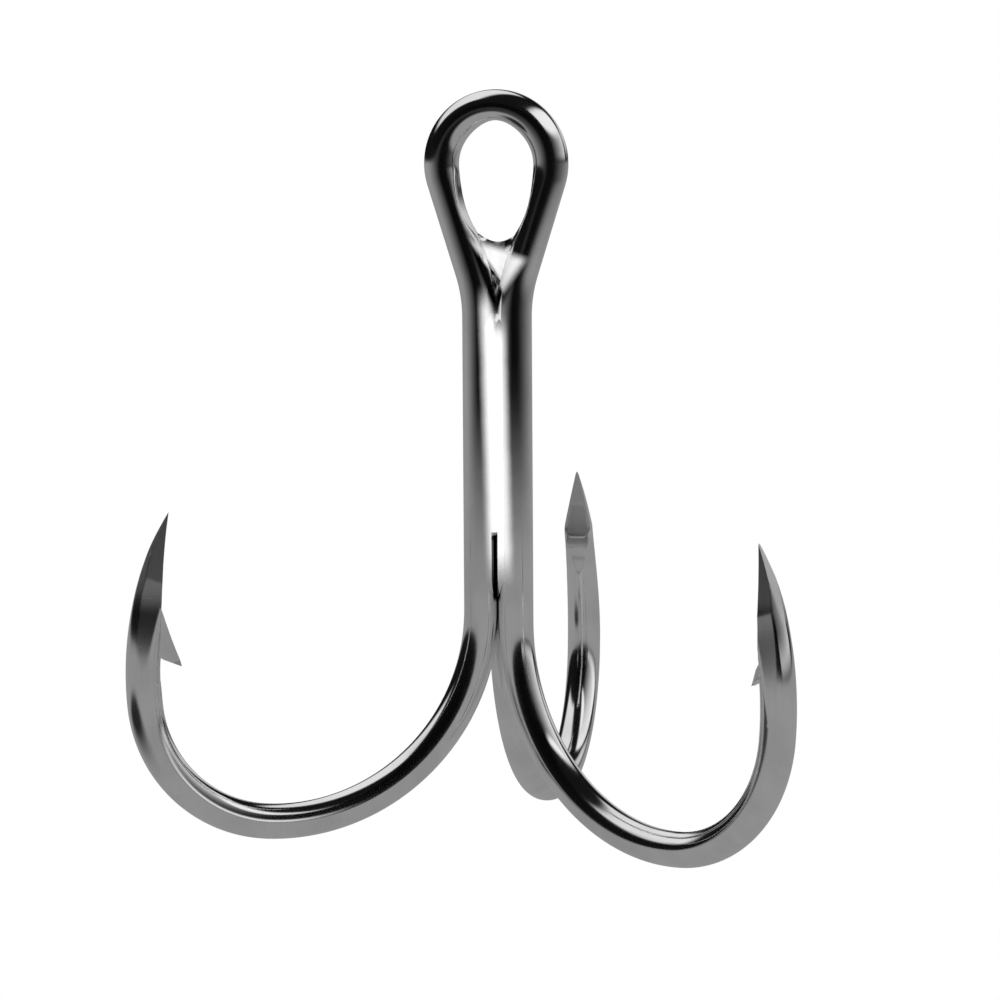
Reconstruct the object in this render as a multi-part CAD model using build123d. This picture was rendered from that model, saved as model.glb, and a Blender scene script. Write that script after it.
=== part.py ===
from build123d import *

import math
import os

# A treble hook, in millimetres. +Z runs up the shank to the eye, and the origin is where the
# shank's axis meets the axis of the eye's hole, which runs along Y. One wire makes the eye and
# the two front hooks. A second wire, brazed behind it, makes the rear hook.

WIRE_DIAMETER = 1.7
BRAZE_FILM = 0.02  # braze between two wires that lie side by side

EYE_BEND_RADIUS = 2.71  # the eye's round top, on the wire's centreline
LEG_LEAN = 17.6  # degrees between an eye leg and the shank
LEG_BEND_RADIUS = 7.4  # where a leg turns into the shank
EYE_HOLE_RADII = (1.86, 2.92)  # an oval is pressed through the eye: half its width and half its height
EYE_HOLE_Z = -0.85
EYE_HOLE_DEPTH = 4.0

SHANK_END_Z = -21.94
FIRST_BEND = (9.94, 94.7)  # radius and turn in degrees, from the shank outwards
SECOND_BEND = (6.51, 80.0)
ARM_RADIUS = 15.19  # the arm leans in on this arc, up to the point

# name, azimuth in degrees, lift of the whole bend, height of the tip, drop from tip to barb,
# how far the barb's tip stands off the wire, the barb's length, and its width at the tip
HOOKS = (
    ("left_hook", 210, 0.34, -16.35, 7.45, 1.05, 2.95, 0.25),
    ("right_hook", 330, -0.28, -17.21, 6.70, 0.70, 1.3, 0.20),
    ("rear_hook", 90, -0.06, -16.48, 4.05, 0.45, 2.4, 1.05),
)

# The ground point: a face on the inner side and a flank on each side
FACE_SLOPE = 0.105  # the face leans in to meet the wire's outer edge at the tip
FACE_LENGTH = 5.2
FLANK_ANGLE = 78.0  # each flank faces this many degrees to the side of straight out
FLANK_TIP = 0.20  # from the wire's centreline to a flank, at the tip
FLANK_SLOPE = 0.229
FLANK_LENGTH = 6.0
GRIND_DEPTH = 4.0  # the cutting blocks' thickness
OVERRUN = 0.5  # the wire is drawn this far past the tip, and ground away

BARB_UNDERCUT = 0.45  # the cut under the barb ends this far above its tip
BARB_ROOT_WIDTH = 1.2
BARB_ROOT_DEPTH = 0.30
POINT_SPREAD = 0.175  # a point is at least this much wider, each side, for each unit down

REAR_SHANK_TOP = -4.7
FRONT_SEAM_END = -20.97
SLIT_TOP = -17.96  # below this the front seam is split down its middle
SLIT_WIDTH = 0.30
SLIT_DEPTH = 0.50
REAR_SEAM_END = -20.2
SEAM_LEVEL = 0.745  # the seams' height over the line between two wire centres

WEB_TOP = -2.9
WEB_FRONT = -0.75
WEB_BACK = 0.3

WIRE_RADIUS = WIRE_DIAMETER / 2
WIRE_PITCH = WIRE_DIAMETER + BRAZE_FILM
SHANK_OFFSET = WIRE_PITCH / math.sqrt(3)  # from the shank's axis to each wire's centre
EYE_PLANE_Y = -SHANK_OFFSET / 2


def leg_points():
    """Centreline corners of the right leg: the shank's top, the leg's foot and the eye's tangent."""
    lean = math.radians(LEG_LEAN)
    half = WIRE_PITCH / 2
    tangent_x = EYE_BEND_RADIUS * math.cos(lean)
    tangent_z = -EYE_BEND_RADIUS * math.sin(lean)
    foot_x = half + LEG_BEND_RADIUS * (1 - math.cos(lean))
    foot_z = tangent_z - (tangent_x - foot_x) / math.tan(lean)
    top_z = foot_z - LEG_BEND_RADIUS * math.sin(lean)
    return (half, top_z), (foot_x, foot_z), (tangent_x, tangent_z)


SHANK_TOP_Z = leg_points()[0][1]


def wire_along(path):
    start = Plane(origin=path @ 0, z_dir=path % 0)
    return sweep(start * Circle(WIRE_RADIUS), path=path)


def eye_hole():
    front = Plane(origin=(0, EYE_HOLE_DEPTH / 2, EYE_HOLE_Z), x_dir=(1, 0, 0), z_dir=(0, -1, 0))
    return extrude(front * Ellipse(*EYE_HOLE_RADII), EYE_HOLE_DEPTH)


def eye_loop():
    shank_top, foot, tangent = leg_points()
    lower = JernArc(shank_top, (0, 1), LEG_BEND_RADIUS, -LEG_LEAN)
    leg = Line(foot, tangent)
    half_turn = 90 + LEG_LEAN
    top = JernArc(tangent, leg % 1, EYE_BEND_RADIUS, 2 * half_turn)
    other_tangent = (-tangent[0], tangent[1])
    other_foot = (-foot[0], foot[1])
    other_leg = Line(other_tangent, other_foot)
    other_lower = JernArc(other_foot, other_leg % 1, LEG_BEND_RADIUS, -LEG_LEAN)
    outline = Wire([lower, leg, top, other_leg, other_lower])
    eye_plane = Plane(origin=(0, EYE_PLANE_Y, 0), x_dir=(1, 0, 0), z_dir=(0, -1, 0))
    return wire_along(eye_plane * outline) - eye_hole()


def turn_on(place, heading, radius, turn):
    """The place and heading after an arc. A heading of 0 is straight down, 90 is outwards."""
    first = math.radians(heading)
    last = math.radians(heading + turn)
    centre = (place[0] + radius * math.cos(first), place[1] + radius * math.sin(first))
    end = (centre[0] - radius * math.cos(last), centre[1] - radius * math.sin(last))
    return end, heading + turn, centre


def arm_centre(lift):
    """The centre of the arm's arc, its lower end and the heading there, in the hook's plane."""
    place, heading, _ = turn_on((SHANK_OFFSET, SHANK_END_Z + lift), 0, *FIRST_BEND)
    place, heading, _ = turn_on(place, heading, *SECOND_BEND)
    _, _, centre = turn_on(place, heading, ARM_RADIUS, 1)
    return centre, place, heading


def arm_at(lift, height):
    """The arm's centreline distance from the shank's axis at a height, and its heading there."""
    centre, _, _ = arm_centre(lift)
    rise = math.asin((height - centre[1]) / ARM_RADIUS)
    return centre[0] + ARM_RADIUS * math.cos(rise), 180 + math.degrees(rise)


def hook_wire(shank_top, lift, point_start):
    shank = Line((SHANK_OFFSET, shank_top), (SHANK_OFFSET, SHANK_END_Z + lift))
    first = JernArc(shank @ 1, (0, -1), *FIRST_BEND)
    second = JernArc(first @ 1, first % 1, *SECOND_BEND)
    _, _, arm_heading = arm_centre(lift)
    _, end_heading = arm_at(lift, point_start)
    arm = JernArc(second @ 1, second % 1, ARM_RADIUS, end_heading - arm_heading)
    return wire_along(Plane.XZ * Wire([shank, first, second, arm]))


def tip_reach(lift, tip_z):
    """How far the tip stands off the shank's axis."""
    centre, _, _ = arm_centre(lift)
    high = tip_z - centre[1]
    return centre[0] + math.sqrt((ARM_RADIUS + WIRE_RADIUS) ** 2 - high * high)


def face_block(lift, tip_z):
    """What the grinding takes off the inner side of the wire to make the point's face."""
    top = tip_reach(lift, tip_z)
    low = top + FACE_SLOPE * FACE_LENGTH
    high = top - FACE_SLOPE * GRIND_DEPTH
    corners = ((high, tip_z + GRIND_DEPTH), (low, tip_z - FACE_LENGTH),
               (low - GRIND_DEPTH, tip_z - FACE_LENGTH), (high - GRIND_DEPTH, tip_z + GRIND_DEPTH))
    middle = Plane.XZ.offset(-GRIND_DEPTH / 2)
    return extrude(middle * make_face(Polyline(*corners, close=True)), GRIND_DEPTH)


def flank_block(lift, tip_z, side):
    """What the grinding takes off one side of the wire to make a flank."""
    angle = math.radians(FLANK_ANGLE)
    centre_r = arm_at(lift, tip_z)[0]
    origin = (centre_r + FLANK_TIP * math.cos(angle), side * FLANK_TIP * math.sin(angle), tip_z)
    normal = (math.cos(angle), side * math.sin(angle), FLANK_SLOPE)
    flank = Plane(origin=origin, x_dir=(0, 0, 1), z_dir=normal)
    return flank * Pos(0, 0, GRIND_DEPTH / 2) * Box(2 * FLANK_LENGTH, 2 * GRIND_DEPTH, GRIND_DEPTH)


def hook_barb(lift, tip_z, drop, reach, length, width):
    """A thorn whose top runs up into the point's face. Its sides widen to its root in the wire."""
    barb_z = tip_z - drop
    tip = arm_at(lift, barb_z)[0] - WIRE_RADIUS - reach
    root = tip_reach(lift, tip_z) + FACE_SLOPE * (drop - length) - tip
    deep = max(root, reach) + BARB_ROOT_DEPTH
    wide = min(BARB_ROOT_WIDTH, 2 * POINT_SPREAD * (drop - length))
    profile = ((0, 0), (reach, BARB_UNDERCUT), (deep, BARB_UNDERCUT + BARB_ROOT_DEPTH),
               (deep, length), (root, length))
    corners = [(tip + inwards, barb_z + above) for inwards, above in profile]
    middle = Plane.XZ.offset(-BARB_ROOT_WIDTH / 2)
    slab = extrude(middle * make_face(Polyline(*corners, close=True)), BARB_ROOT_WIDTH)
    outline = ((tip, -width / 2), (tip + root, -wide / 2), (tip + deep, -wide / 2), (tip + deep, wide / 2),
               (tip + root, wide / 2), (tip, width / 2))
    return slab & extrude(Pos(0, 0, barb_z) * make_face(Polyline(*outline, close=True)), length)


def hook(azimuth, lift, tip_z, barb, shank_top):
    wire = hook_wire(shank_top, lift, tip_z + OVERRUN)
    ground = wire - face_block(lift, tip_z) - flank_block(lift, tip_z, 1) - flank_block(lift, tip_z, -1)
    whole = ground + hook_barb(lift, tip_z, *barb)
    return Rot(0, 0, azimuth) * whole


def wire_centre(azimuth):
    angle = math.radians(azimuth)
    return Vector(SHANK_OFFSET * math.cos(angle), SHANK_OFFSET * math.sin(angle), 0)


def shank_wires():
    circles = Sketch()
    for _, azimuth, *_ in HOOKS:
        circles += Pos(wire_centre(azimuth)) * Circle(WIRE_RADIUS)
    return circles


def seam(first_azimuth, second_azimuth, low, high):
    """The braze in the groove between two shank wires."""
    first = wire_centre(first_azimuth)
    second = wire_centre(second_azimuth)
    out = (first + second).normalized() * SEAM_LEVEL
    strip = make_face(Polyline(first, second, second + out, first + out, close=True))
    return extrude(Pos(0, 0, low) * (strip - shank_wires()), high - low)


def seam_slit():
    """The slit between the two front wires, where the braze has not closed over."""
    front = -SHANK_OFFSET / 2 - SEAM_LEVEL
    length = SLIT_TOP - FRONT_SEAM_END
    return Pos(0, front, SLIT_TOP - length / 2) * Box(SLIT_WIDTH, 2 * SLIT_DEPTH, length)


def core(low, high):
    """The braze in the channel that the three wires enclose."""
    centres = [wire_centre(azimuth) for _, azimuth, *_ in HOOKS]
    channel = make_face(Polyline(*centres, close=True)) - shank_wires()
    return extrude(Pos(0, 0, low) * channel, high - low)


def eye_web(eye, rear):
    """The braze in the fork between the eye's legs, with the eye's hole rounded into its top."""
    shank_top, _, tangent = leg_points()
    slope = math.tan(math.radians(LEG_LEAN))
    top_x = tangent[0] - (tangent[1] - WEB_TOP) * slope
    corners = ((-shank_top[0], SHANK_TOP_Z), (shank_top[0], SHANK_TOP_Z),
               (top_x, WEB_TOP), (-top_x, WEB_TOP))
    front = Plane(origin=(0, WEB_BACK, 0), x_dir=(1, 0, 0), z_dir=(0, -1, 0))
    block = extrude(front * make_face(Polyline(*corners, close=True)), WEB_BACK - WEB_FRONT)
    return block - eye_hole() - eye - rear


def main():
    os.makedirs("parts", exist_ok=True)
    nodes = {"eye_loop": eye_loop()}
    for name, azimuth, lift, tip_z, *barb in HOOKS:
        shank_top = REAR_SHANK_TOP if name == "rear_hook" else SHANK_TOP_Z
        nodes[name] = hook(azimuth, lift, tip_z, barb, shank_top)
    nodes["front_seam_braze"] = seam(210, 330, FRONT_SEAM_END, SHANK_TOP_Z) - seam_slit()
    nodes["left_seam_braze"] = seam(90, 210, REAR_SEAM_END, SHANK_TOP_Z)
    nodes["right_seam_braze"] = seam(330, 90, REAR_SEAM_END, SHANK_TOP_Z)
    nodes["core_braze"] = core(REAR_SEAM_END, SHANK_TOP_Z)
    nodes["eye_web_braze"] = eye_web(nodes["eye_loop"], nodes["rear_hook"])
    for name, shape in nodes.items():
        export_step(shape, f"parts/{name}.step")


main()
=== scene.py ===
import math

import bpy
from mathutils import Matrix, Vector


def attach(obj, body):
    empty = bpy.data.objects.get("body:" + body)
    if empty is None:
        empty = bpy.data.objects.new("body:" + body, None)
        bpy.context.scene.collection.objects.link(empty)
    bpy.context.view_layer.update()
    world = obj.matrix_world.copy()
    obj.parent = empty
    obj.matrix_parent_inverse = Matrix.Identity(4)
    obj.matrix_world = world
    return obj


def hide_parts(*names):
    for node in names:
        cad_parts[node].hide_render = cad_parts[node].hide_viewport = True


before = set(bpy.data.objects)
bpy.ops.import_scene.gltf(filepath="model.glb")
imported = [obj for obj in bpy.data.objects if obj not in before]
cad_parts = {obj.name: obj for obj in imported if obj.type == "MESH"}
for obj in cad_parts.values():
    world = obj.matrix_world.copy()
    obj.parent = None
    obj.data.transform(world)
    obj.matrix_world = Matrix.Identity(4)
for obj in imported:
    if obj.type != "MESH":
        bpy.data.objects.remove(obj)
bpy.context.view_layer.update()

# Sizes in metres. The eye's hole axis runs through the origin along Y, and +Z runs up the shank.
MM = 0.001
WIRE_RADIUS = 0.85 * MM
WIRE_PITCH = 1.72 * MM
SHANK_OFFSET = WIRE_PITCH / math.sqrt(3)
EYE_PLANE_Y = -SHANK_OFFSET / 2
EYE_BEND_RADIUS = 2.71 * MM
LEG_LEAN = math.radians(17.6)
LEG_BEND_RADIUS = 7.4 * MM
SHANK_END_Z = -21.94 * MM
FIRST_BEND = (9.94 * MM, math.radians(94.7))
SECOND_BEND = (6.51 * MM, math.radians(80.0))
ARM_RADIUS = 15.19 * MM
REAR_SHANK_TOP = -4.7 * MM
EYE_HOLE_RADII = (1.86 * MM, 2.92 * MM)  # the oval pressed through the eye: half its width and height
EYE_HOLE_Z = -0.85 * MM
EYE_HOLE_ROUND = 0.10  # how softly the pressed part runs into the round wire

RING_SIDES = 72
ARC_STEP = math.radians(2.2)  # the turn between two rings of a bend
RUN_STEP = 0.45 * MM  # the distance between two rings of a straight run
ARM_STEP = 0.085 * MM  # the same along the arm, where the point and barb are shaped
SMOOTH_BELOW = math.radians(40)  # edges that turn by more than this stay sharp


class Hook:
    """One hook's own measures: its azimuth, lift, tip height, ground face and barb."""

    def __init__(self, azimuth, lift, tip_z, face_rise, barb_drop, barb_reach, barb_length, barb_width):
        turn = math.radians(azimuth)
        self.lift = lift * MM
        self.tip_z = tip_z * MM
        self.face_rise = face_rise
        self.barb_z = (tip_z - barb_drop) * MM
        self.barb_reach = barb_reach * MM
        self.barb_length = barb_length * MM
        self.barb_width = barb_width * MM
        self.out = Vector((math.cos(turn), math.sin(turn), 0))
        self.side = Vector((-math.sin(turn), math.cos(turn), 0))
        self.trace()

    def at(self, reach, height, aside=0.0):
        """The place at a distance from the shank's axis and a height, in the hook's own plane."""
        return self.out * reach + self.side * aside + Vector((0, 0, height))

    def trace(self):
        """The centres of the three arcs, and the headings where they meet. 0 is down, 90 out."""
        self.first_centre = (SHANK_OFFSET + FIRST_BEND[0], SHANK_END_Z + self.lift)
        heading = FIRST_BEND[1]
        end = self.arc_point(self.first_centre, FIRST_BEND[0], heading)
        self.second_centre = self.centre_from(end, SECOND_BEND[0], heading)
        heading += SECOND_BEND[1]
        end = self.arc_point(self.second_centre, SECOND_BEND[0], heading)
        self.arm_centre = self.centre_from(end, ARM_RADIUS, heading)
        self.arm_heading = heading

    @staticmethod
    def arc_point(centre, radius, heading):
        return centre[0] - radius * math.cos(heading), centre[1] - radius * math.sin(heading)

    @staticmethod
    def centre_from(point, radius, heading):
        return point[0] + radius * math.cos(heading), point[1] + radius * math.sin(heading)

    def rise_at(self, height):
        """The angle of a height on the arm's arc, over the level of the arc's centre."""
        return math.asin((height - self.arm_centre[1]) / ARM_RADIUS)

    def arm_reach(self, height):
        return self.arm_centre[0] + ARM_RADIUS * math.cos(self.rise_at(height))

    def heading_at(self, height):
        return math.pi + self.rise_at(height)

    def arm_turn(self):
        """The arm's whole turn, from the bends up to the height of the tip."""
        return self.heading_at(self.tip_z) - self.arm_heading


# azimuth, lift, tip height, how fast the ground face leans in towards the tip, drop from the tip to
# the barb, and the barb's reach, length and width
LEFT_HOOK = Hook(210, 0.34, -16.35, 0.20, 7.45, 1.05, 2.95, 0.25)
RIGHT_HOOK = Hook(330, -0.28, -17.21, 0.20, 6.70, 0.70, 1.3, 0.20)
REAR_HOOK = Hook(90, -0.06, -16.48, 0.03, 4.05, 0.20, 2.4, 1.05)


# ---------------------------------------------------------------- modelling helpers

def clear_selection():
    bpy.ops.object.select_all(action="DESELECT")


def begin_wire(name, centre, direction):
    """A filled circle across a wire's start, left in edit mode with its face selected."""
    clear_selection()
    turn = Vector((0, 0, 1)).rotation_difference(direction).to_euler()
    bpy.ops.mesh.primitive_circle_add(
        vertices=RING_SIDES, radius=WIRE_RADIUS, fill_type="NGON", location=centre, rotation=turn)
    wire = bpy.context.object
    wire.name = name
    bpy.ops.object.transform_apply(location=True, rotation=True, scale=True)
    bpy.ops.object.mode_set(mode="EDIT")
    bpy.ops.mesh.select_mode(type="FACE")
    bpy.ops.mesh.select_all(action="SELECT")
    return wire


def run_on(start, end):
    """Extrudes the wire's open end along a straight run, in even steps."""
    steps = max(1, round((end - start).length / RUN_STEP))
    for _ in range(steps):
        bpy.ops.mesh.extrude_region_move(TRANSFORM_OT_translate={"value": (end - start) / steps})


def turn_on(centre, axis, angle):
    """Carries the open end round an arc. A positive angle is clockwise with the axis towards you."""
    steps = max(1, math.ceil(abs(angle) / ARC_STEP))
    bpy.ops.mesh.spin(steps=steps, angle=angle, center=centre, axis=axis)


def make_active(thing):
    clear_selection()
    thing.select_set(True)
    bpy.context.view_layer.objects.active = thing


def end_wire(wire):
    """Welds the rings that two runs share, and leaves edit mode."""
    bpy.ops.mesh.select_all(action="SELECT")
    bpy.ops.mesh.remove_doubles(threshold=1e-7)
    bpy.ops.mesh.normals_make_consistent(inside=False)
    bpy.ops.object.mode_set(mode="OBJECT")
    return wire


def end_piece(piece):
    make_active(piece)
    bpy.ops.object.mode_set(mode="EDIT")
    bpy.ops.mesh.select_all(action="SELECT")
    bpy.ops.mesh.normals_make_consistent(inside=False)
    bpy.ops.object.mode_set(mode="OBJECT")
    return piece


def soft_min(a, b, width):
    gap = max(width - abs(a - b), 0) / width
    return min(a, b) - gap * gap * width / 4


def smooth_step(value, low, high):
    part = min(max((value - low) / (high - low), 0), 1)
    return part * part * (3 - 2 * part)


# ---------------------------------------------------------------- the wires

REAR_TOP_ROUND = 0.22 * MM  # the rear wire's top end is rounded over this height
REAR_TOP_FLAT = 0.74  # and this share of its radius stays flat
REAR_TOP_STEPS = 4


def arm_steps(angle):
    return math.ceil(abs(angle) * ARM_RADIUS / ARM_STEP)


def turn_arm(hook, way):
    arm = hook.arm_turn()
    bpy.ops.mesh.spin(steps=arm_steps(arm), angle=way * arm, center=hook.at(*hook.arm_centre), axis=hook.side)


def down_the_hook(hook):
    """From the shank's end round both bends and up the arm, to the height of the tip."""
    turn_on(hook.at(*hook.first_centre), hook.side, FIRST_BEND[1])
    turn_on(hook.at(*hook.second_centre), hook.side, SECOND_BEND[1])
    turn_arm(hook, 1)


def up_the_hook(hook):
    """The same arcs the other way, from the tip back to the shank."""
    turn_arm(hook, -1)
    turn_on(hook.at(*hook.second_centre), hook.side, -SECOND_BEND[1])
    turn_on(hook.at(*hook.first_centre), hook.side, -FIRST_BEND[1])


def tip_of_arm(hook):
    """The centre of the wire at the height of the tip, and the way the wire runs down from it."""
    heading = hook.heading_at(hook.tip_z)
    reach = hook.arm_reach(hook.tip_z)
    forward = hook.out * math.sin(heading) + Vector((0, 0, -math.cos(heading)))
    return hook.at(reach, hook.tip_z), -forward


def shank_foot(hook):
    return hook.at(SHANK_OFFSET, SHANK_END_Z + hook.lift)


def leg_corners():
    """The right leg's corners, as (x, z): the shank's top, the leg's foot and the eye's tangent."""
    half = WIRE_PITCH / 2
    tangent = (EYE_BEND_RADIUS * math.cos(LEG_LEAN), -EYE_BEND_RADIUS * math.sin(LEG_LEAN))
    foot_x = half + LEG_BEND_RADIUS * (1 - math.cos(LEG_LEAN))
    foot_z = tangent[1] - (tangent[0] - foot_x) / math.tan(LEG_LEAN)
    return (half, foot_z - LEG_BEND_RADIUS * math.sin(LEG_LEAN)), (foot_x, foot_z), tangent


def open_eye(wire):
    """Presses the hole's oval out of the inner side of the wire."""
    for vertex in wire.data.vertices:
        above = vertex.co.z - EYE_HOLE_Z
        part = math.hypot(vertex.co.x / EYE_HOLE_RADII[0], above / EYE_HOLE_RADII[1])
        if part < 1 + 2 * EYE_HOLE_ROUND:
            grow = -soft_min(-part, -1, EYE_HOLE_ROUND) / part
            vertex.co.x *= grow
            vertex.co.z = EYE_HOLE_Z + above * grow
    return wire


def double_wire():
    """The wire that makes the left hook, the eye and the right hook."""
    top, foot, tangent = [Vector((x, EYE_PLANE_Y, z)) for x, z in leg_corners()]
    bend = top + Vector((LEG_BEND_RADIUS, 0, 0))
    across = Vector((-1, 1, 1))
    wire = begin_wire("double_hook_wire", *tip_of_arm(LEFT_HOOK))
    up_the_hook(LEFT_HOOK)
    run_on(shank_foot(LEFT_HOOK), top * across)
    turn_on(bend * across, (0, 1, 0), LEG_LEAN)
    run_on(foot * across, tangent * across)
    turn_on((0, EYE_PLANE_Y, 0), (0, 1, 0), -math.pi - 2 * LEG_LEAN)
    run_on(tangent, foot)
    turn_on(bend, (0, 1, 0), LEG_LEAN)
    run_on(top, shank_foot(RIGHT_HOOK))
    down_the_hook(RIGHT_HOOK)
    return open_eye(end_wire(wire))


def single_wire():
    """The rear hook's wire. Its top end is rounded over."""
    top = REAR_HOOK.at(SHANK_OFFSET, REAR_SHANK_TOP)
    wire = begin_wire("single_hook_wire", top, Vector((0, 0, -1)))
    bpy.ops.transform.resize(value=(REAR_TOP_FLAT, REAR_TOP_FLAT, 1), center_override=top)
    level, width = 1.0, REAR_TOP_FLAT
    for part in range(1, REAR_TOP_STEPS + 1):
        turn = part * math.pi / 2 / REAR_TOP_STEPS
        wider = REAR_TOP_FLAT + (1 - REAR_TOP_FLAT) * math.sin(turn)
        drop = REAR_TOP_ROUND * (level - math.cos(turn))
        bpy.ops.mesh.extrude_region_move(TRANSFORM_OT_translate={"value": (0, 0, -drop)})
        bpy.ops.transform.resize(value=(wider / width, wider / width, 1), center_override=top)
        level, width = math.cos(turn), wider
    run_on(top - Vector((0, 0, REAR_TOP_ROUND)), shank_foot(REAR_HOOK))
    down_the_hook(REAR_HOOK)
    return end_wire(wire)


# ---------------------------------------------------------------- points and barbs

POINT_TRIM = (0.11 * MM, 4.0 * MM)  # the outer edge is dressed by this much at the tip, over this length
FACE_EASE = 11.5 * MM  # the ground face's lean eases off over this length
FLANK_ANGLE = math.radians(78)  # the two flanks face this far to each side of straight out
FLANK_TIP = 0.20 * MM  # from the wire's centre line to a flank, at the tip
FLANK_RISE = 0.135  # how fast a flank moves out, for each unit down
FLANK_KNEE = 3.3 * MM  # below this drop from the tip the flanks only ease out to the round wire
FLANK_END = 9.0 * MM
FLANK_CLEAR = 1.01 * WIRE_RADIUS  # a flank ends this far out, clear of the wire
FACE_END = (0.5 * MM, 1.1 * MM)  # the face runs out between these heights over the barb's tip
FACE_ROUNDS = 4  # turns of the search for the face's place on a ring
SCOOP_DEPTH = 0.12 * MM
SCOOP_START = (-1.0 * MM, -0.3 * MM)  # drops below the barb's tip
SCOOP_END = (0.2 * MM, 1.5 * MM)
EDGE_ROUND = 0.03 * MM
ARM_SIDE = 0.7 * ARM_RADIUS  # only what lies further than this from the arc's centre is the arm
POINT_SPREAD = 0.175  # a point is at least this much wider, each side, for each unit down
BARB_UNDERCUT = 0.45 * MM  # the barb's root lies this far above its tip
BARB_ROOT = 0.60 * MM  # half the barb's width where it leaves the wire
BARB_DEEP = 0.30 * MM  # how far its root is buried in the wire
BARB_BELLY = 0.24 * MM  # the underside's height over the tip, halfway in
BARB_CREST = (1.1, 0.9, 0.7, 0.5, 0.3, 0.12)  # places along its top, as shares of its length
BARB_SAG = 0.05 * MM  # how hollow that top is
BARB_PROUD = 0.02 * MM  # its sides may stand this far over the point's
BARB_TAPER = 0.25  # the buried root narrows by this much, for each unit in


def face_reach(hook, drop):
    """How far from the shank's axis the ground inner face lies, at a drop below the tip."""
    return hook.tip_reach + hook.face_rise * drop * (1 - drop / FACE_EASE)


class Section:
    """The shape of one ring of an arm. Offsets are from the wire's centre, outwards positive."""

    def __init__(self, hook, rise):
        self.hook = hook
        self.rise = rise
        self.face = 0.0
        for _ in range(FACE_ROUNDS):
            self.face = self.offset_at(face_reach(hook, self.drop_at(self.face)))
        drop = self.drop_at(self.face)
        above_barb = hook.tip_z - hook.barb_z - drop
        self.fade = 1 - smooth_step(above_barb, *FACE_END)
        self.outer = WIRE_RADIUS - POINT_TRIM[0] * max(1 - max(drop, 0) / POINT_TRIM[1], 0)
        self.flank = FLANK_TIP + FLANK_RISE * min(drop, FLANK_KNEE)
        self.flank += (FLANK_CLEAR - self.flank) * smooth_step(drop, FLANK_KNEE, FLANK_END)
        below = self.drop_at(-WIRE_RADIUS) - (hook.tip_z - hook.barb_z)
        self.scoop = SCOOP_DEPTH * smooth_step(below, *SCOOP_START) * (1 - smooth_step(below, *SCOOP_END))

    def thick(self):
        return self.outer - self.face

    def drop_at(self, offset):
        height = self.hook.arm_centre[1] + (ARM_RADIUS + offset) * math.sin(self.rise)
        return self.hook.tip_z - height

    def offset_at(self, reach):
        return (reach - self.hook.arm_centre[0]) / math.cos(self.rise) - ARM_RADIUS

    def place(self, offset, aside):
        """Where a point on the round wire goes once the arm is ground."""
        offset = min(offset, self.outer)
        if self.scoop > 0:
            offset = max(offset, -WIRE_RADIUS + self.scoop)
        if self.fade < 1:
            offset = max(offset, min(self.face + (-WIRE_RADIUS - self.face) * self.fade, self.outer))
        width = abs(aside)
        if self.flank < WIRE_RADIUS:
            limit = (self.flank - offset * math.cos(FLANK_ANGLE)) / math.sin(FLANK_ANGLE)
            width = max(soft_min(width, limit, EDGE_ROUND), 0)
        centre = self.hook.arm_centre
        reach = centre[0] + (ARM_RADIUS + offset) * math.cos(self.rise)
        height = centre[1] + (ARM_RADIUS + offset) * math.sin(self.rise)
        return self.hook.at(reach, height, math.copysign(width, aside))


def grind_point(wire, hook):
    """Grinds the point on the rings of one hook's arm, and the shallow scoop under its barb."""
    centre = hook.arm_centre
    high = hook.tip_z - centre[1]
    hook.tip_reach = centre[0] + math.sqrt((ARM_RADIUS + WIRE_RADIUS) ** 2 - high * high) - POINT_TRIM[0]
    step = hook.arm_turn() / arm_steps(hook.arm_turn())
    low = hook.arm_heading - math.pi
    sections = {}
    last = 1
    while Section(hook, low + last * step).thick() > 0:
        last += 1
    for vertex in wire.data.vertices:
        reach = vertex.co.dot(hook.out)
        aside = vertex.co.dot(hook.side)
        if reach < centre[0] + ARM_SIDE or abs(aside) > 2 * WIRE_RADIUS:
            continue
        ring = round((math.atan2(vertex.co.z - centre[1], reach - centre[0]) - low) / step)
        if ring < 1:
            continue
        ring = min(ring, last)
        if ring not in sections:
            sections[ring] = Section(hook, low + ring * step)
        offset = math.hypot(reach - centre[0], vertex.co.z - centre[1]) - ARM_RADIUS
        vertex.co = sections[ring].place(offset, 0 if ring == last else aside)


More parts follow.
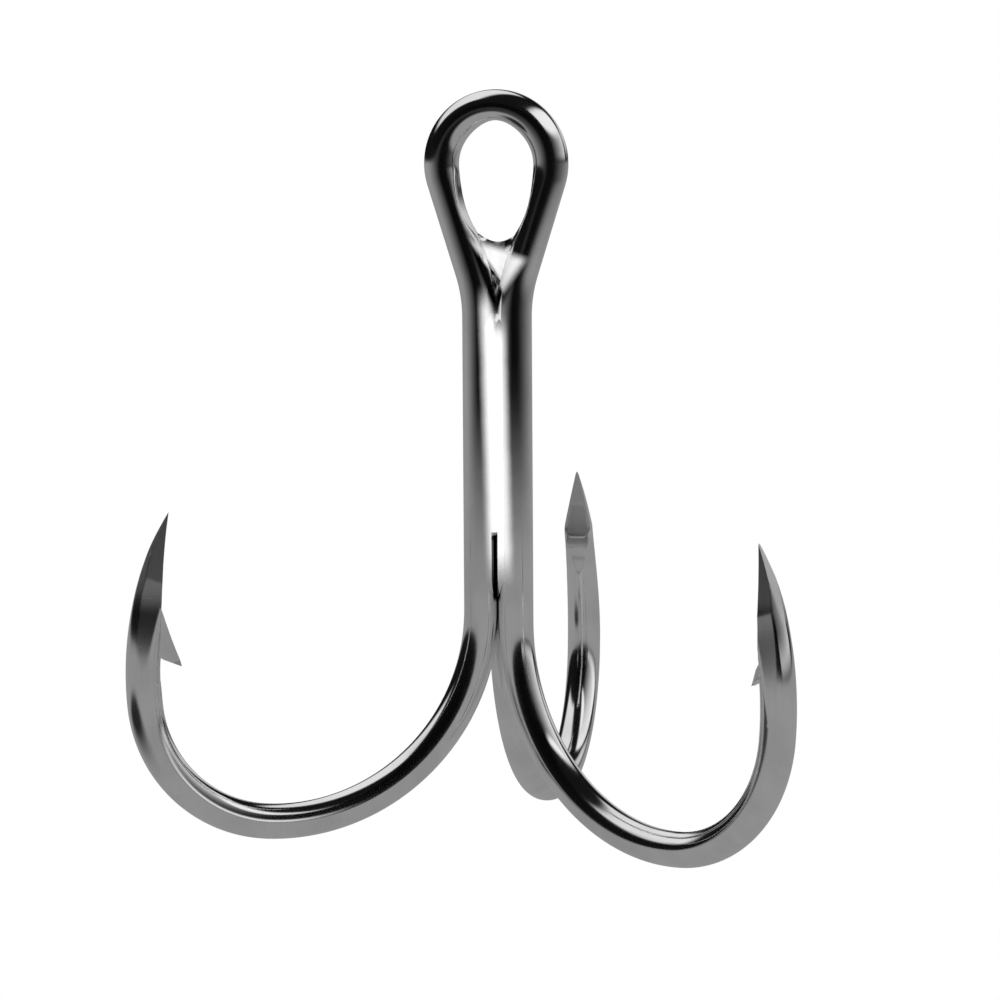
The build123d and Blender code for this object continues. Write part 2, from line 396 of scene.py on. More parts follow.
def raise_barb(wire, hook):
    """The barb, a thorn on the wire's inner side, rooted in it and joined to its mesh."""
    drop = hook.tip_z - hook.barb_z
    tip = hook.arm_reach(hook.barb_z) - WIRE_RADIUS - hook.barb_reach
    root = face_reach(hook, drop - hook.barb_length) - tip
    deep = max(root, hook.barb_reach) + BARB_DEEP
    profile = [(0, 0), (hook.barb_reach / 2, BARB_BELLY), (hook.barb_reach, BARB_UNDERCUT),
               (deep, BARB_UNDERCUT + BARB_DEEP), (deep, hook.barb_length * BARB_CREST[0])]
    for part in BARB_CREST:
        sag = BARB_SAG * math.sin(min(part, 1) * math.pi)
        profile.append((root * part + sag, hook.barb_length * part))
    clear_selection()
    bpy.ops.mesh.primitive_circle_add(vertices=len(profile), radius=MM, fill_type="NGON")
    barb = bpy.context.object
    bpy.ops.object.mode_set(mode="EDIT")
    bpy.ops.mesh.select_all(action="SELECT")
    bpy.ops.mesh.extrude_region_move(TRANSFORM_OT_translate={"value": (0, 0, MM)})
    bpy.ops.object.mode_set(mode="OBJECT")
    for number, vertex in enumerate(barb.data.vertices):
        inwards, above = profile[number % len(profile)]
        part = min(inwards / hook.barb_reach, 1)
        half = hook.barb_width / 2 + (BARB_ROOT - hook.barb_width / 2) * part
        half = min(half, POINT_SPREAD * (drop - above) + BARB_PROUD - BARB_TAPER * max(inwards - root, 0))
        aside = half if vertex.co.z > MM / 2 else -half
        vertex.co = hook.at(tip + inwards, hook.barb_z + above, aside)
    end_piece(barb)
    wire.select_set(True)
    bpy.context.view_layer.objects.active = wire
    bpy.ops.object.join()


double = double_wire()
single = single_wire()
for wire, hook in ((double, LEFT_HOOK), (double, RIGHT_HOOK), (single, REAR_HOOK)):
    grind_point(wire, hook)
    raise_barb(wire, hook)


# ---------------------------------------------------------------- the braze

SEAM_STEP = 0.2 * MM
FRONT_SEAM_END = -20.97 * MM
REAR_SEAM_END = -20.2 * MM
SEAM_TOP = -7.2 * MM
SEAM_LEVEL = 0.765 * MM  # the seam's middle, over the line between two wire centres
SEAM_REACH = math.radians(63)  # how far round each wire the braze wets, from the line between them
SEAM_BITE = 0.985 * WIRE_RADIUS  # its edges lie just inside the wires
SEAM_END_LEVEL = 0.45  # at its lower end it is this share of its full height
SEAM_END_EASE = (-0.05 * MM, 1.1 * MM)  # heights over its lower end
SEAM_TOP_DIP = 0.40 * MM  # its middle sinks by this much at the top
SEAM_TOP_EASE = 1.0 * MM
SLIT_TOP = -17.96 * MM  # below this the front seam is split down its middle
SLIT_WIDTH = 0.30 * MM
SLIT_DEPTH = 0.70 * MM
SAME_PLACE = 0.002 * MM
SLIT_FLOOR = 0.05 * MM  # over the line between the two wire centres
SEAM_TOUCH = (WIRE_PITCH / 2 - SEAM_BITE * math.cos(SEAM_REACH), SEAM_BITE * math.sin(SEAM_REACH))
CORE_RADIUS = 0.42 * MM
CORE_SIDES = 24
CORE_ROUND = 0.2 * MM  # the rounding of its lower end
CORE_DROP = 0.1 * MM  # how far it shows below the rear seams


def seam_places():
    """The places across a seam, from one wire to the other, close together at the slit's edges."""
    half = SLIT_WIDTH / 2
    places = [SEAM_TOUCH[0], 0.45 * MM, 0.38 * MM, 0.3 * MM, half + 0.09 * MM, half + 0.04 * MM, half,
              half - 0.012 * MM, half / 2, 0]
    return places + [-place for place in reversed(places[:-1])]


def slit_end(height):
    """The slit's half width at a height. Its top end is round."""
    half = SLIT_WIDTH / 2
    below = SLIT_TOP - height
    if below <= 0:
        return 0
    return math.sqrt(max(half * half - max(half - below, 0) ** 2, 0))


def seam(name, azimuth, low, high, slit):
    """The braze in one groove between two shank wires, running out softly at its lower end."""
    out = Vector((math.cos(azimuth), math.sin(azimuth), 0))
    side = Vector((-out.y, out.x, 0))
    places = seam_places()
    sides = len(places) + 2
    clear_selection()
    bpy.ops.mesh.primitive_circle_add(vertices=sides, radius=MM, fill_type="NGON", location=(0, 0, low))
    piece = bpy.context.object
    piece.name = name
    bpy.ops.object.transform_apply(location=True, rotation=True, scale=True)
    bpy.ops.object.mode_set(mode="EDIT")
    bpy.ops.mesh.select_all(action="SELECT")
    steps = math.ceil((high - low) / SEAM_STEP)
    for _ in range(steps):
        bpy.ops.mesh.extrude_region_move(TRANSFORM_OT_translate={"value": (0, 0, (high - low) / steps)})
    bpy.ops.object.mode_set(mode="OBJECT")
    for vertex in piece.data.vertices:
        height = vertex.co.z
        number = round(math.atan2(vertex.co.y, vertex.co.x) / (2 * math.pi / sides)) % sides
        full = math.sqrt(smooth_step(height - low, *SEAM_END_EASE))
        if number >= len(places):
            across = SEAM_TOUCH[0] * 0.5 * (1 if number > len(places) else -1)
            outward = 0.0
        else:
            across = places[number]
            edge = abs(across) / SEAM_TOUCH[0]
            outward = SEAM_LEVEL + (SEAM_TOUCH[1] - SEAM_LEVEL) * edge ** 2
            outward *= SEAM_END_LEVEL + (1 - SEAM_END_LEVEL) * full
            outward -= SEAM_TOP_DIP * smooth_step(height, SEAM_TOP - SEAM_TOP_EASE, SEAM_TOP) * (1 - edge)
            width = slit_end(height) if slit and abs(across) < SLIT_WIDTH / 2 - SAME_PLACE else 0
            if width > 0:
                across *= width / (SLIT_WIDTH / 2)
                outward = max(outward - SLIT_DEPTH, SLIT_FLOOR)
        vertex.co = out * (SHANK_OFFSET / 2 + outward) - side * across + Vector((0, 0, height))
    return end_piece(piece)


def core():
    """The braze in the channel that the three wires enclose, rounded at its lower end."""
    clear_selection()
    low = REAR_SEAM_END - CORE_DROP
    bpy.ops.mesh.primitive_circle_add(
        vertices=CORE_SIDES, radius=CORE_RADIUS, fill_type="NGON", location=(0, 0, low))
    piece = bpy.context.object
    piece.name = "core_braze_fill"
    bpy.ops.object.transform_apply(location=True, rotation=True, scale=True)
    bpy.ops.object.mode_set(mode="EDIT")
    bpy.ops.mesh.select_all(action="SELECT")
    bpy.ops.mesh.extrude_region_move(TRANSFORM_OT_translate={"value": (0, 0, SEAM_TOP - low)})
    bpy.ops.mesh.select_all(action="DESELECT")
    bpy.ops.object.mode_set(mode="OBJECT")
    for edge in piece.data.edges:
        ends = [piece.data.vertices[index].co.z for index in edge.vertices]
        edge.select = max(ends) < low + SAME_PLACE
    bpy.ops.object.mode_set(mode="EDIT")
    bpy.ops.mesh.bevel(offset=CORE_ROUND, segments=4)
    bpy.ops.object.mode_set(mode="OBJECT")
    return end_piece(piece)


WEB_LIP_REACH = 1.2 * MM  # half the width of the web's lip
WEB_FRONT = -0.98 * MM
WEB_BACK = 0.25 * MM
WEB_MIDDLE = -0.245 * MM  # the lip rounds in to here
WEB_BITE = 0.62 * WIRE_RADIUS  # the web runs this far past the line between the legs' centres
WEB_LIP = 0.8  # the share of the height at which the lip starts to round
WEB_LIP_EDGE = 0.12  # the share of its thickness that the lip keeps
WEB_DISH = 0.5  # how much of its front is dished away in the middle
WEB_DISH_EASE = (-7.3 * MM, -5.5 * MM)
WEB_LEAN = 0.30 * MM  # how much further back its front lies above the seam
WEB_LEAN_EASE = (-7.5 * MM, -5.5 * MM)
HOLLOW_EDGE = ((-0.49 * MM, -4.72 * MM), (0.841, 0.541))  # a point (x, z) on its edge, and a normal
HOLLOW_DEPTH = 0.35 * MM
HOLLOW_EASE = 0.25 * MM
WEB_ROWS = 30
WEB_COLUMNS = 28


def leg_centre(height):
    """How far a leg's centre lies from the eye's middle plane at a height."""
    top, foot, tangent = leg_corners()
    if height > foot[1]:
        return tangent[0] - (tangent[1] - height) * math.tan(LEG_LEAN)
    if height < top[1]:
        return top[0]
    rise = (height - top[1]) / LEG_BEND_RADIUS
    return top[0] + LEG_BEND_RADIUS * (1 - math.sqrt(1 - rise * rise))


def web():
    """The braze in the fork of the eye: a sheet from leg to leg, with a hollow at its lower left."""
    clear_selection()
    bpy.ops.mesh.primitive_grid_add(x_subdivisions=WEB_COLUMNS, y_subdivisions=WEB_ROWS, size=2)
    piece = bpy.context.object
    piece.name = "eye_fork_braze"
    bpy.ops.object.mode_set(mode="EDIT")
    bpy.ops.mesh.select_all(action="SELECT")
    bpy.ops.mesh.extrude_region_move(TRANSFORM_OT_translate={"value": (0, 0, 1)})
    bpy.ops.object.mode_set(mode="OBJECT")
    for vertex in piece.data.vertices:
        across = vertex.co.x
        up = (vertex.co.y + 1) / 2
        beside = across * WEB_LIP_REACH / EYE_HOLE_RADII[0]
        lip = EYE_HOLE_Z - EYE_HOLE_RADII[1] * math.sqrt(1 - beside * beside)
        height = SEAM_TOP + (lip - SEAM_TOP) * up
        x = across * (leg_centre(height) - WEB_BITE)
        dish = 1 - WEB_DISH * math.cos(across * math.pi / 2) * smooth_step(height, *WEB_DISH_EASE)
        thin = math.sqrt(max(1 - (max(up - WEB_LIP, 0) / (1 - WEB_LIP)) ** 2, 0))
        if vertex.co.z > 0.5:
            depth = WEB_BACK
        else:
            (edge_x, edge_z), normal = HOLLOW_EDGE
            inside = (edge_x - x) * normal[0] + (edge_z - height) * normal[1]
            depth = WEB_FRONT * dish + WEB_LEAN * smooth_step(height, *WEB_LEAN_EASE)
            depth += HOLLOW_DEPTH * smooth_step(inside, 0, HOLLOW_EASE)
        depth = WEB_MIDDLE + (depth - WEB_MIDDLE) * (WEB_LIP_EDGE + (1 - WEB_LIP_EDGE) * thin)
        vertex.co = Vector((x, depth, height))
    return end_piece(piece)


front_seam = seam("front_seam_fill", math.radians(270), FRONT_SEAM_END, SEAM_TOP, True)
left_seam = seam("left_seam_fill", math.radians(150), REAR_SEAM_END, SEAM_TOP, False)
right_seam = seam("right_seam_fill", math.radians(30), REAR_SEAM_END, SEAM_TOP, False)
core_fill = core()
fork = web()

WIRES = (double, single)
BRAZE = (front_seam, left_seam, right_seam, core_fill, fork)
for piece in WIRES + BRAZE:
    make_active(piece)
    bpy.ops.object.shade_smooth_by_angle(angle=SMOOTH_BELOW)
    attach(piece, "root")
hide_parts("eye_loop", "left_hook", "right_hook")
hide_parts("rear_hook")
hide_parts("front_seam_braze")
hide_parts("left_seam_braze")
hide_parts("right_seam_braze")
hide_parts("core_braze")
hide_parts("eye_web_braze")


# ---------------------------------------------------------------- finishes

def link(tree, *steps):
    for start, end in steps:
        tree.links.new(start, end)


def maths(tree, operation, *values):
    """A Math node. Each value is a number or another node's output."""
    node = tree.nodes.new("ShaderNodeMath")
    node.operation = operation
    for number, value in enumerate(values):
        if isinstance(value, (int, float)):
            node.inputs[number].default_value = value
        else:
            tree.links.new(value, node.inputs[number])
    return node.outputs[0]


def product(tree, first, *others):
    for other in others:
        first = maths(tree, "MULTIPLY", first, other)
    return first


def ramp(tree, value, low, high, start=0.0, end=1.0):
    """A smooth change from start to end as the value goes from low to high."""
    node = tree.nodes.new("ShaderNodeMapRange")
    node.interpolation_type = "SMOOTHSTEP"
    node.inputs["From Min"].default_value = low
    node.inputs["From Max"].default_value = high
    node.inputs["To Min"].default_value = start
    node.inputs["To Max"].default_value = end
    tree.links.new(value, node.inputs["Value"])
    return node.outputs["Result"]


def new_group(name, inputs, outputs):
    group = bpy.data.node_groups.new(name, "ShaderNodeTree")
    for socket, kind, value in inputs:
        made = group.interface.new_socket(socket, in_out="INPUT", socket_type=kind)
        if value is not None:
            made.default_value = value
    for socket, kind in outputs:
        group.interface.new_socket(socket, in_out="OUTPUT", socket_type=kind)
    group.nodes.new("NodeGroupInput")
    group.nodes.new("NodeGroupOutput")
    return group


def split_place(tree, places):
    node = tree.nodes.new("ShaderNodeSeparateXYZ")
    tree.links.new(places, node.inputs[0])
    return node.outputs


def noise(tree, place, scale, detail):
    node = tree.nodes.new("ShaderNodeTexNoise")
    node.inputs["Scale"].default_value = scale
    node.inputs["Detail"].default_value = detail
    tree.links.new(place, node.inputs["Vector"])
    return node.outputs["Fac"]


def beyond(tree, x, z, edge):
    """How far a place in the front view lies beyond an edge, given as a point and a normal."""
    point, normal = edge
    return maths(tree, "ADD", product(tree, maths(tree, "SUBTRACT", x, point[0]), normal[0]),
                 product(tree, maths(tree, "SUBTRACT", z, point[1]), normal[1]))


FRONT_Y = (-0.75 * MM, -0.45 * MM)  # what lies nearer than this is the front
FRONT_BAND = (0.26 * MM, 0.82 * MM)  # from the band's middle to where it starts and ends fading out
FRONT_BAND_DRIFT = (-8 * MM, -0.025)  # the band leans to the right below this height, by this much
FRONT_BAND_FOOT = (-20.6 * MM, -18.4 * MM)
FRONT_BAND_HEAD = (-7.3 * MM, -5.7 * MM)
FORK_HEAD = ((0, -3.95 * MM), (0.30, 1.0))
FORK_SIDE = (5.65 * MM, 0.74, 0.78 * MM)  # 0.78 mm to each side at z = -5.65 mm, and wider above
FORK_FOOT = (-7.6 * MM, -7.1 * MM)
FORK_SHARE = 0.9
REAR_BAND_X = 1.0 * MM
REAR_BAND = (0.1 * MM, 0.42 * MM)
REAR_Y = (0.2 * MM, 0.5 * MM)
REAR_BAND_FOOT = (-20.4 * MM, -19.2 * MM)
REAR_BAND_HEAD = (-7.6 * MM, -7.0 * MM)
# painted shade: these edges bound the black painted into the fork's hollow and down the front seam's slit
HOLLOW_LEFT = ((-1.06 * MM, -4.32 * MM), (0.941, 0.338))
HOLLOW_RIGHT = ((0.45 * MM, -6.18 * MM), (-0.946, 0.323))
SLIT_SIDE = (0.12 * MM, 0.17 * MM)
SLIT_HEAD = (-17.99 * MM, -17.93 * MM)
SLIT_FOOT = (-21.3 * MM, -20.9 * MM)


def wetting_and_shade_group():
    """Where braze has wetted the wires, and painted shade: black in the hollow that the braze left open at
    the fork and in the front seam's slit.
    """
    group = new_group("braze_wetting_and_painted_shade", [("Place", "NodeSocketVector", None)],
                      [("Wetted", "NodeSocketFloat"), ("Painted shade", "NodeSocketFloat")])
    places = group.nodes["Group Input"].outputs["Place"]
    x, y, z = split_place(group, places)
    beside = maths(group, "ABSOLUTE", x)
    ragged = noise(group, places, 900, 2)
    front = ramp(group, y, *FRONT_Y, 1, 0)

    drift = product(group, maths(group, "SUBTRACT", z, FRONT_BAND_DRIFT[0]), FRONT_BAND_DRIFT[1])
    across = maths(group, "ABSOLUTE", maths(group, "SUBTRACT", x, drift))
    across = maths(group, "ADD", across, product(group, maths(group, "SUBTRACT", ragged, 0.5), 0.08 * MM))
    climb = maths(group, "ADD", z, product(group, ramp(group, x, -0.35 * MM, 0.15 * MM), 1.3 * MM))
    facing = product(group, ramp(group, across, *FRONT_BAND, 1, 0), front, ramp(group, z, *FRONT_BAND_FOOT),
                     ramp(group, climb, *FRONT_BAND_HEAD, 1, 0))

    slant = beyond(group, x, z, HOLLOW_EDGE)
    inner = product(group, maths(group, "ADD", z, FORK_SIDE[0]), FORK_SIDE[1])
    inner = maths(group, "ADD", inner, FORK_SIDE[2])
    outside = maths(group, "SUBTRACT", beside, inner)
    fork = product(group, ramp(group, slant, -0.08 * MM, 0.16 * MM),
                   ramp(group, outside, -0.35 * MM, 0.35 * MM, 1, 0),
                   ramp(group, beyond(group, x, z, FORK_HEAD), -0.42 * MM, 0.14 * MM, 1, 0),
                   ramp(group, z, *FORK_FOOT), FORK_SHARE)

    rear = maths(group, "ABSOLUTE", maths(group, "SUBTRACT", beside, REAR_BAND_X))
    rear = maths(group, "ADD", rear, product(group, ragged, 0.12 * MM))
    rear = product(group, ramp(group, rear, *REAR_BAND, 1, 0), ramp(group, y, *REAR_Y),
                   ramp(group, z, *REAR_BAND_FOOT), ramp(group, z, *REAR_BAND_HEAD, 1, 0))

    # painted shade: black painted on the front in the hollow at the fork's lower left and in the slit, where
    # shade falls
    hollow = product(group, ramp(group, slant, -0.12 * MM, 0.02 * MM, 1, 0),
                     ramp(group, beyond(group, x, z, HOLLOW_LEFT), -0.05 * MM, 0.15 * MM),
                     ramp(group, beyond(group, x, z, HOLLOW_RIGHT), -0.05 * MM, 0.08 * MM))
    slit = product(group, ramp(group, beside, *SLIT_SIDE, 1, 0), ramp(group, z, *SLIT_HEAD, 1, 0),
                   ramp(group, z, *SLIT_FOOT))
    painted_shade = product(group, maths(group, "MAXIMUM", hollow, slit), front)
    wetted = maths(group, "MAXIMUM", maths(group, "MAXIMUM", facing, fork), rear)
    out = group.nodes["Group Output"]
    link(group, (wetted, out.inputs["Wetted"]), (painted_shade, out.inputs["Painted shade"]))
    return group


def polish_group():
    """Fine drawing lines, faint pits and hand marks: a height, and a change to the roughness."""
    group = new_group("polished_surface",
                      [("Place", "NodeSocketVector", None), ("Mark depth", "NodeSocketFloat", 1.0)],
                      [("Height", "NodeSocketFloat"), ("Haze", "NodeSocketFloat")])
    entry = group.nodes["Group Input"]
    places = entry.outputs["Place"]
    ripple = noise(group, places, 260, 2)
    pits = ramp(group, noise(group, places, 5200, 3), 0.22, 0.36)
    hairs = group.nodes.new("ShaderNodeMapping")
    hairs.inputs["Scale"].default_value = (5000, 5000, 260)
    link(group, (places, hairs.inputs["Vector"]))
    fine = noise(group, hairs.outputs["Vector"], 1.0, 3)
    height = maths(group, "ADD", product(group, fine, 0.30), product(group, pits, 0.35))
    height = maths(group, "ADD", height, product(group, ripple, 0.8))
    height = product(group, height, entry.outputs["Mark depth"])
    haze = maths(group, "ADD", ramp(group, noise(group, places, 420, 4), 0.35, 0.75),
                 product(group, ramp(group, fine, 0.5, 0.8), 0.4))
    out = group.nodes["Group Output"]
    link(group, (height, out.inputs["Height"]), (haze, out.inputs["Haze"]))
    return group


WETTING_AND_SHADE = wetting_and_shade_group()
POLISH = polish_group()


def place_group(tree, group, places):
    node = tree.nodes.new("ShaderNodeGroup")
    node.node_tree = group
    tree.links.new(places, node.inputs["Place"])
    return node


def bump(tree, height, distance, strength):
    node = tree.nodes.new("ShaderNodeBump")
    node.inputs["Distance"].default_value = distance
    node.inputs["Strength"].default_value = strength
    tree.links.new(height, node.inputs["Height"])
    return node.outputs["Normal"]


def mix_colour(tree, part, first, second):
    """A Mix node. The first colour may be another node's output."""
    node = tree.nodes.new("ShaderNodeMix")
    node.data_type = "RGBA"
    if isinstance(first, tuple):
        node.inputs[6].default_value = (*first, 1)
    else:
        tree.links.new(first, node.inputs[6])
    node.inputs[7].default_value = (*second, 1)
    tree.links.new(part, node.inputs[0])
    return node.outputs[2]


NICKEL = (0.90, 0.90, 0.905)
NICKEL_DULL = (0.80, 0.80, 0.81)
SILVER = (0.93, 0.93, 0.925)
SILVER_DULL = (0.86, 0.86, 0.86)
# painted shade: the black put into the base colour in the hollow and the slit
PAINTED_SHADE_BLACK = (0.004, 0.004, 0.004)
WIRE_ROUGH = (0.10, 0.03)  # the least roughness, and what the haze adds
BRAZE_ROUGH = (0.34, 0.12)
WETTED_ROUGH = 0.33  # added where the braze has wetted the wire
WETTED_METAL = 0.85  # taken off the metallic value there
GROUND_ROUGH = 0.26  # the ground points are rougher than the drawn wire by this much
GROUND_REACH = (6 * MM, 7 * MM)  # only what lies further than this from the shank is a point
GROUND_Z = (-21.2 * MM, -19.6 * MM)


def new_finish(name):
    finish = bpy.data.materials.new(name)
    finish.use_nodes = True
    tree = finish.node_tree
    shader = tree.nodes["Principled BSDF"]
    places = tree.nodes.new("ShaderNodeTexCoord").outputs["Object"]
    return finish, tree, shader, places


def polished_wire():
    """Bright nickel plate, satin silver where braze has wetted it, and painted shade, black, down in the
    hollow and the slit.
    """
    finish, tree, shader, places = new_finish("bright_nickel_wire")
    braze = place_group(tree, WETTING_AND_SHADE, places)
    wetted = braze.outputs["Wetted"]
    painted_shade = braze.outputs["Painted shade"]
    polish = place_group(tree, POLISH, places)
    haze = polish.outputs["Haze"]
    colour = mix_colour(tree, haze, NICKEL, NICKEL_DULL)
    # painted shade: the colour turns black in the hollow and the slit
    colour = mix_colour(tree, painted_shade, mix_colour(tree, wetted, colour, SILVER), PAINTED_SHADE_BLACK)
    x, y, z = split_place(tree, places)
    away = maths(tree, "SQRT", maths(tree, "ADD", product(tree, x, x), product(tree, y, y)))
    ground = product(tree, ramp(tree, away, *GROUND_REACH), ramp(tree, z, *GROUND_Z))
    rough = maths(tree, "ADD", product(tree, haze, WIRE_ROUGH[1]), WIRE_ROUGH[0])
    rough = maths(tree, "ADD", rough, product(tree, wetted, WETTED_ROUGH))
    rough = maths(tree, "ADD", rough, product(tree, ground, GROUND_ROUGH))
    metal = maths(tree, "SUBTRACT", 1.0, product(tree, wetted, WETTED_METAL))
    metal = maths(tree, "MAXIMUM", metal, painted_shade)
    link(tree, (colour, shader.inputs["Base Color"]))
    link(tree, (rough, shader.inputs["Roughness"]), (metal, shader.inputs["Metallic"]))
    link(tree, (bump(tree, polish.outputs["Height"], 0.002 * MM, 0.6), shader.inputs["Normal"]))
    return finish


def satin_braze():
    """Silver braze that has set smooth, with faint flow ripples and a few grains."""
    finish, tree, shader, places = new_finish("satin_silver_braze")
    polish = place_group(tree, POLISH, places)
    haze = polish.outputs["Haze"]
    link(tree, (mix_colour(tree, haze, SILVER, SILVER_DULL), shader.inputs["Base Color"]))
    rough = maths(tree, "ADD", product(tree, haze, BRAZE_ROUGH[1]), BRAZE_ROUGH[0])
    link(tree, (rough, shader.inputs["Roughness"]))
    shader.inputs["Metallic"].default_value = 0.15
    link(tree, (bump(tree, polish.outputs["Height"], 0.006 * MM, 0.7), shader.inputs["Normal"]))
    return finish


wire_finish = polished_wire()
braze_finish = satin_braze()
for piece in WIRES:
    piece.data.materials.append(wire_finish)
for piece in BRAZE:
    piece.data.materials.append(wire_finish if piece in (fork, front_seam) else braze_finish)


# ---------------------------------------------------------------- camera, floor and light

CAMERA_AZIMUTH = math.radians(14.195)
CAMERA_ELEVATION = math.radians(5.82)
CAMERA_TARGET = Vector((-0.03 * MM, 0, -16.33 * MM))
CAMERA_DISTANCE = 216.26 * MM
CAMERA_ROLL = math.radians(-0.35)
CAMERA_LENS = 160.15
FLOOR_Z = -33.2 * MM
FLOOR_SIZE = 3
FLOOR_GLOW = 0.305  # the light that comes up off the floor
PATCH_PLACE = (-36 * MM, -24 * MM, FLOOR_Z)  # the floor is dark here, in reflections only
PATCH_EDGE = (10 * MM, 24 * MM)
PATCH_GLOW = 0.02
STUDIO_DARK = 0.006
HORIZON = (-0.035, 0.03)
# azimuth, elevation, half width, half height, softness and level
SOFTBOXES = (
    (68, 33, 0.95, 0.56, 0.10, 0.95),
    (-135, 53, 0.72, 0.50, 0.12, 0.80),
    (150, 14, 0.50, 0.16, 0.08, 0.60),
)
FLAG_DISTANCE = 45 * MM
FLAG_LOW = -26 * MM
FLAG_TOP = 30 * MM
FLAG_SOFT = 12 * MM  # the height over which its upper and lower edges fade in
FLAG_LEFT = (math.radians(-110), math.radians(-12))  # its two ends fade in between these azimuths
FLAG_RIGHT = (math.radians(15), math.radians(150))
FLAG_SIDES = 64
FLAG_BLACK = 0.002
KEY_PLACE = (-12, 18)  # azimuth and elevation
KEY_DISTANCE = 0.45
KEY_SIZE = 0.25
KEY_POWER = 2.6
UP = Vector((0, 0, 1))


def add_camera():
    level = math.cos(CAMERA_ELEVATION)
    back = Vector((math.sin(CAMERA_AZIMUTH) * level, -math.cos(CAMERA_AZIMUTH) * level,
                   math.sin(CAMERA_ELEVATION)))
    camera = bpy.data.objects.new("camera", bpy.data.cameras.new("camera"))
    bpy.context.collection.objects.link(camera)
    camera.data.lens = CAMERA_LENS
    camera.data.sensor_width = 36
    camera.data.clip_start = 0.01
    turn = back.to_track_quat("Z", "Y").to_matrix() @ Matrix.Rotation(CAMERA_ROLL, 3, "Z")
    camera.matrix_world = Matrix.Translation(CAMERA_TARGET + back * CAMERA_DISTANCE) @ turn.to_4x4()
    bpy.context.scene.camera = camera


def facing(azimuth, elevation):
    """A direction in the studio. Azimuth 0 is over the camera, and 90 to its right."""
    turn = math.radians(azimuth) + CAMERA_AZIMUTH
    lift = math.radians(elevation)
    return Vector((math.sin(turn) * math.cos(lift), -math.cos(turn) * math.cos(lift), math.sin(lift)))


def along(tree, direction, axis):
    node = tree.nodes.new("ShaderNodeVectorMath")
    node.operation = "DOT_PRODUCT"
    node.inputs[1].default_value = axis
    tree.links.new(direction, node.inputs[0])
    return node.outputs["Value"]


def softbox(tree, direction, azimuth, elevation, half_width, half_height, soft, level):
    """The light of one softbox far away. Its half sizes are tangents of the half angles."""
    middle = facing(azimuth, elevation)
    right = UP.cross(-middle).normalized()
    up = right.cross(-middle)
    ahead = along(tree, direction, middle)
    depth = maths(tree, "MAXIMUM", ahead, 0.001)
    across = maths(tree, "ABSOLUTE", maths(tree, "DIVIDE", along(tree, direction, right), depth))
    rise = maths(tree, "ABSOLUTE", maths(tree, "DIVIDE", along(tree, direction, up), depth))
    return product(tree, ramp(tree, across, half_width - soft, half_width + soft, 1, 0),
                   ramp(tree, rise, half_height - soft, half_height + soft, 1, 0),
                   maths(tree, "GREATER_THAN", ahead, 0.001), level)


def add_world():
    """A dark studio with three softboxes over a pale floor. The camera sees a white backdrop."""
    world = bpy.data.worlds.new("studio")
    bpy.context.scene.world = world
    world.use_nodes = True
    tree = world.node_tree
    backdrop = tree.nodes["Background"]
    studio = tree.nodes.new("ShaderNodeBackground")
    seen = tree.nodes.new("ShaderNodeMixShader")
    ray = tree.nodes.new("ShaderNodeLightPath")
    direction = tree.nodes.new("ShaderNodeTexCoord").outputs["Generated"]
    backdrop.inputs["Color"].default_value = (1, 1, 1, 1)
    light = ramp(tree, along(tree, direction, UP), *HORIZON, FLOOR_GLOW, STUDIO_DARK)
    for box in SOFTBOXES:
        light = maths(tree, "ADD", light, softbox(tree, direction, *box))
    link(tree, (light, studio.inputs["Color"]), (ray.outputs["Is Camera Ray"], seen.inputs[0]),
         (studio.outputs[0], seen.inputs[1]), (backdrop.outputs[0], seen.inputs[2]),
         (seen.outputs[0], tree.nodes["World Output"].inputs[0]))


def new_stage_piece(name):
    """Names the shape just added and gives it an empty material."""
    thing = bpy.context.object
    thing.name = name
    bpy.ops.object.transform_apply(location=True, rotation=True, scale=True)
    paint = bpy.data.materials.new(name)
    paint.use_nodes = True
    thing.data.materials.append(paint)
    paint.node_tree.nodes.remove(paint.node_tree.nodes["Principled BSDF"])
    return thing, paint.node_tree


def emission(tree, level):
    node = tree.nodes.new("ShaderNodeEmission")
    node.inputs["Color"].default_value = (level, level, level, 1)
    return node


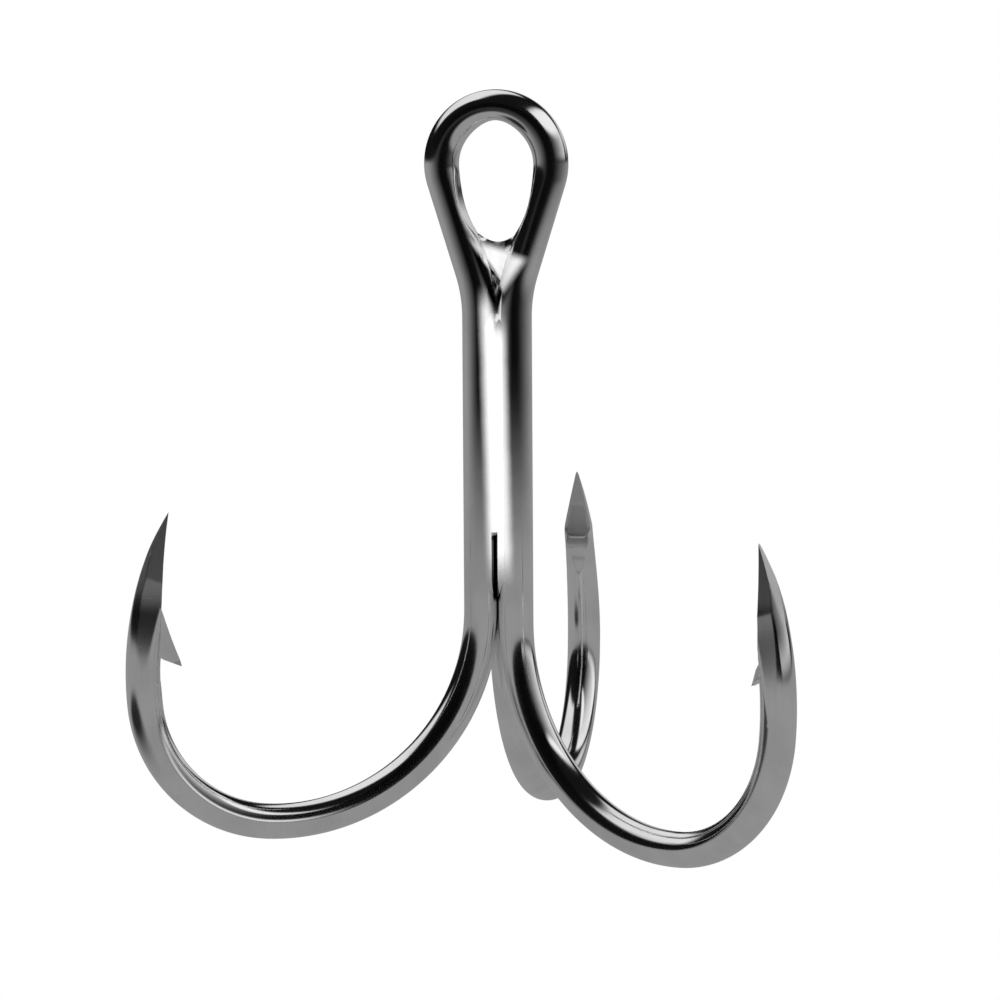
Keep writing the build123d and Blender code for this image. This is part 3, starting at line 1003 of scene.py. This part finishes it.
def add_floor():
    """A plain pale floor that glows white to the camera, as white as the backdrop; to every other ray it
    glows grey, and dark at one patch.
    """
    clear_selection()
    bpy.ops.mesh.primitive_plane_add(size=FLOOR_SIZE, location=(0, 0, FLOOR_Z))
    _, tree = new_stage_piece("floor")
    seen = tree.nodes.new("ShaderNodeMixShader")
    ray = tree.nodes.new("ShaderNodeLightPath")
    white = emission(tree, 1)
    pale = emission(tree, FLOOR_GLOW)
    places = tree.nodes.new("ShaderNodeTexCoord").outputs["Object"]
    away = tree.nodes.new("ShaderNodeVectorMath")
    away.operation = "DISTANCE"
    away.inputs[1].default_value = PATCH_PLACE
    link(tree, (places, away.inputs[0]))
    glow = ramp(tree, away.outputs["Value"], *PATCH_EDGE, PATCH_GLOW, FLOOR_GLOW)
    link(tree, (glow, pale.inputs["Color"]), (ray.outputs["Is Camera Ray"], seen.inputs[0]),
         (pale.outputs[0], seen.inputs[1]), (white.outputs[0], seen.inputs[2]),
         (seen.outputs[0], tree.nodes["Material Output"].inputs["Surface"]))


def add_flag():
    """A curved black screen round the front of the shank and the eye, above the points.

    Only reflections see it, and its two ends let more and more of the studio through.
    """
    clear_selection()
    bpy.ops.mesh.primitive_cylinder_add(
        vertices=FLAG_SIDES, radius=FLAG_DISTANCE, depth=FLAG_TOP - FLAG_LOW, end_fill_type="NOTHING",
        location=(0, 0, (FLAG_TOP + FLAG_LOW) / 2))
    flag, tree = new_stage_piece("flag")
    flag.visible_camera = False
    flag.visible_shadow = False
    flag.visible_diffuse = False
    card = tree.nodes.new("ShaderNodeMixShader")
    clear = tree.nodes.new("ShaderNodeBsdfTransparent")
    black = emission(tree, FLAG_BLACK)
    places = tree.nodes.new("ShaderNodeTexCoord").outputs["Object"]
    height = along(tree, places, UP)
    turn = maths(tree, "ARCTAN2", along(tree, places, facing(90, 0)), along(tree, places, facing(0, 0)))
    cover = product(tree, ramp(tree, turn, *FLAG_LEFT), ramp(tree, turn, *FLAG_RIGHT, 1, 0),
                    ramp(tree, height, FLAG_LOW, FLAG_LOW + FLAG_SOFT),
                    ramp(tree, height, FLAG_TOP - FLAG_SOFT, FLAG_TOP, 1, 0))
    link(tree, (cover, card.inputs[0]), (clear.outputs[0], card.inputs[1]),
         (black.outputs[0], card.inputs[2]),
         (card.outputs[0], tree.nodes["Material Output"].inputs["Surface"]))


def add_key_light():
    """A big soft light over the camera. It brings up the satin braze."""
    lamp = bpy.data.lights.new("key", "AREA")
    lamp.shape = "RECTANGLE"
    lamp.size = KEY_SIZE
    lamp.size_y = KEY_SIZE
    lamp.energy = KEY_POWER
    key = bpy.data.objects.new("key", lamp)
    bpy.context.collection.objects.link(key)
    away = facing(*KEY_PLACE)
    turn = away.to_track_quat("Z", "Y").to_matrix().to_4x4()
    key.matrix_world = Matrix.Translation(away * KEY_DISTANCE) @ turn
    key.visible_glossy = False
    key.visible_camera = False


bpy.context.scene.view_settings.view_transform = "Standard"
add_camera()
add_world()
add_floor()
add_flag()
add_key_light()
